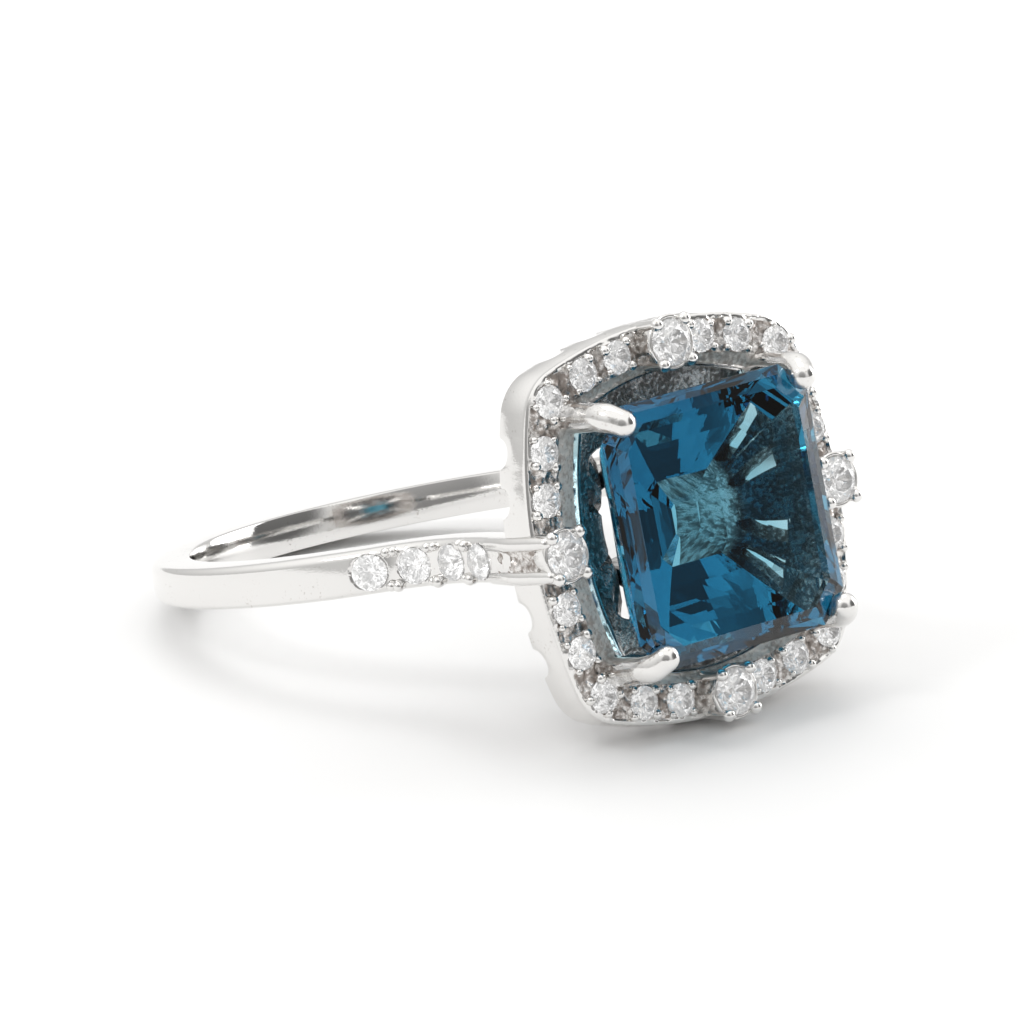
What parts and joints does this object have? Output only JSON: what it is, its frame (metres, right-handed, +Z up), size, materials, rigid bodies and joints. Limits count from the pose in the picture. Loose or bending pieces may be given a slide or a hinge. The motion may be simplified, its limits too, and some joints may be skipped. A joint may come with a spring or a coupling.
{
  "type": "topaz ring",
  "caption": "White gold ring with a large square blue topaz held by four claws over a cushion-shaped diamond halo, diamond shoulders and a plain round band.",
  "frame": {"origin": "middle of the bounding box, on the table that the ring lies on", "axes": "+Z is up; the finger hole's axis lies in the YZ plane, 15 degrees off vertical; the head with the topaz is towards -Y and a little up, the plain far side of the band is towards +Y; +X is across the head"},
  "size_m": [0.0202, 0.0274, 0.0138],
  "materials": {
    "white_gold": "polished white gold, bright and slightly warm",
    "blue_topaz": "transparent faceted London blue topaz",
    "diamond": "clear faceted diamond"
  },
  "bodies": {
    "root": {"ring_casting": "white_gold", "topaz": "blue_topaz", "cardinal_diamond_top": "diamond", "cardinal_diamond_right": "diamond", "cardinal_diamond_bottom": "diamond", "cardinal_diamond_left": "diamond"}
  },
  "joints": []
}
